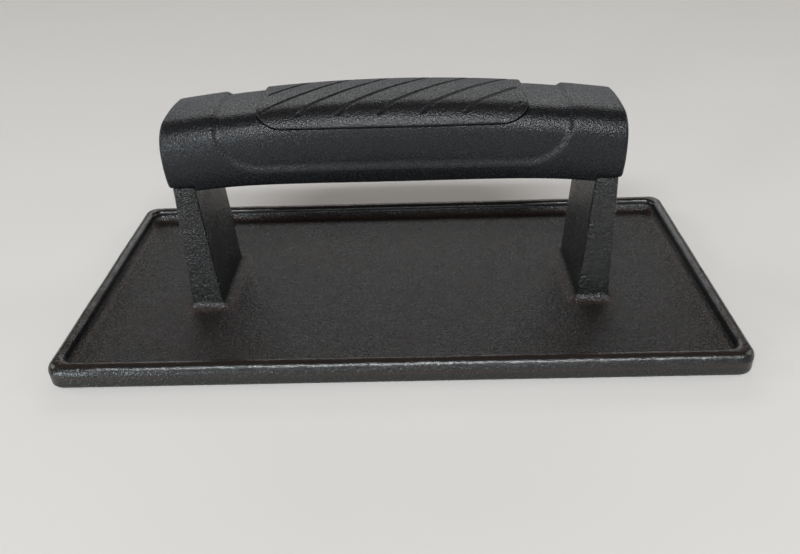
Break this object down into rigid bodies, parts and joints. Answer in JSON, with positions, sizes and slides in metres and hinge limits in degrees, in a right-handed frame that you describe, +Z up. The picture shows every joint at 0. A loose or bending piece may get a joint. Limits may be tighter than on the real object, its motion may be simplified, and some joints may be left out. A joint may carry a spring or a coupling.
{
  "type": "griddle press",
  "caption": "Flat cast iron press plate with a raised rim and two cast posts that carry a moulded bridge handle with a grooved grip pad.",
  "frame": {"origin": "middle of the plate's flat underside", "axes": "+X along the plate and the handle, +Y across them, +Z up from the pressing face to the handle"},
  "size_m": [0.2118, 0.104, 0.073],
  "materials": {
    "cast_iron": "seasoned black, with an orange-peel casting texture",
    "handle_plastic": "satin black, with a fine spark-eroded grain",
    "grip_plastic": "satin black, slightly greyer than the handle",
    "fastener_steel": "black oxide"
  },
  "bodies": {
    "root": {"press_plate": "cast_iron", "handle_shell": "handle_plastic", "handle_cover": "handle_plastic", "grip_pad": "grip_plastic", "left_screw": "fastener_steel", "right_screw": "fastener_steel", "left_nut": "fastener_steel", "right_nut": "fastener_steel"}
  },
  "joints": []
}
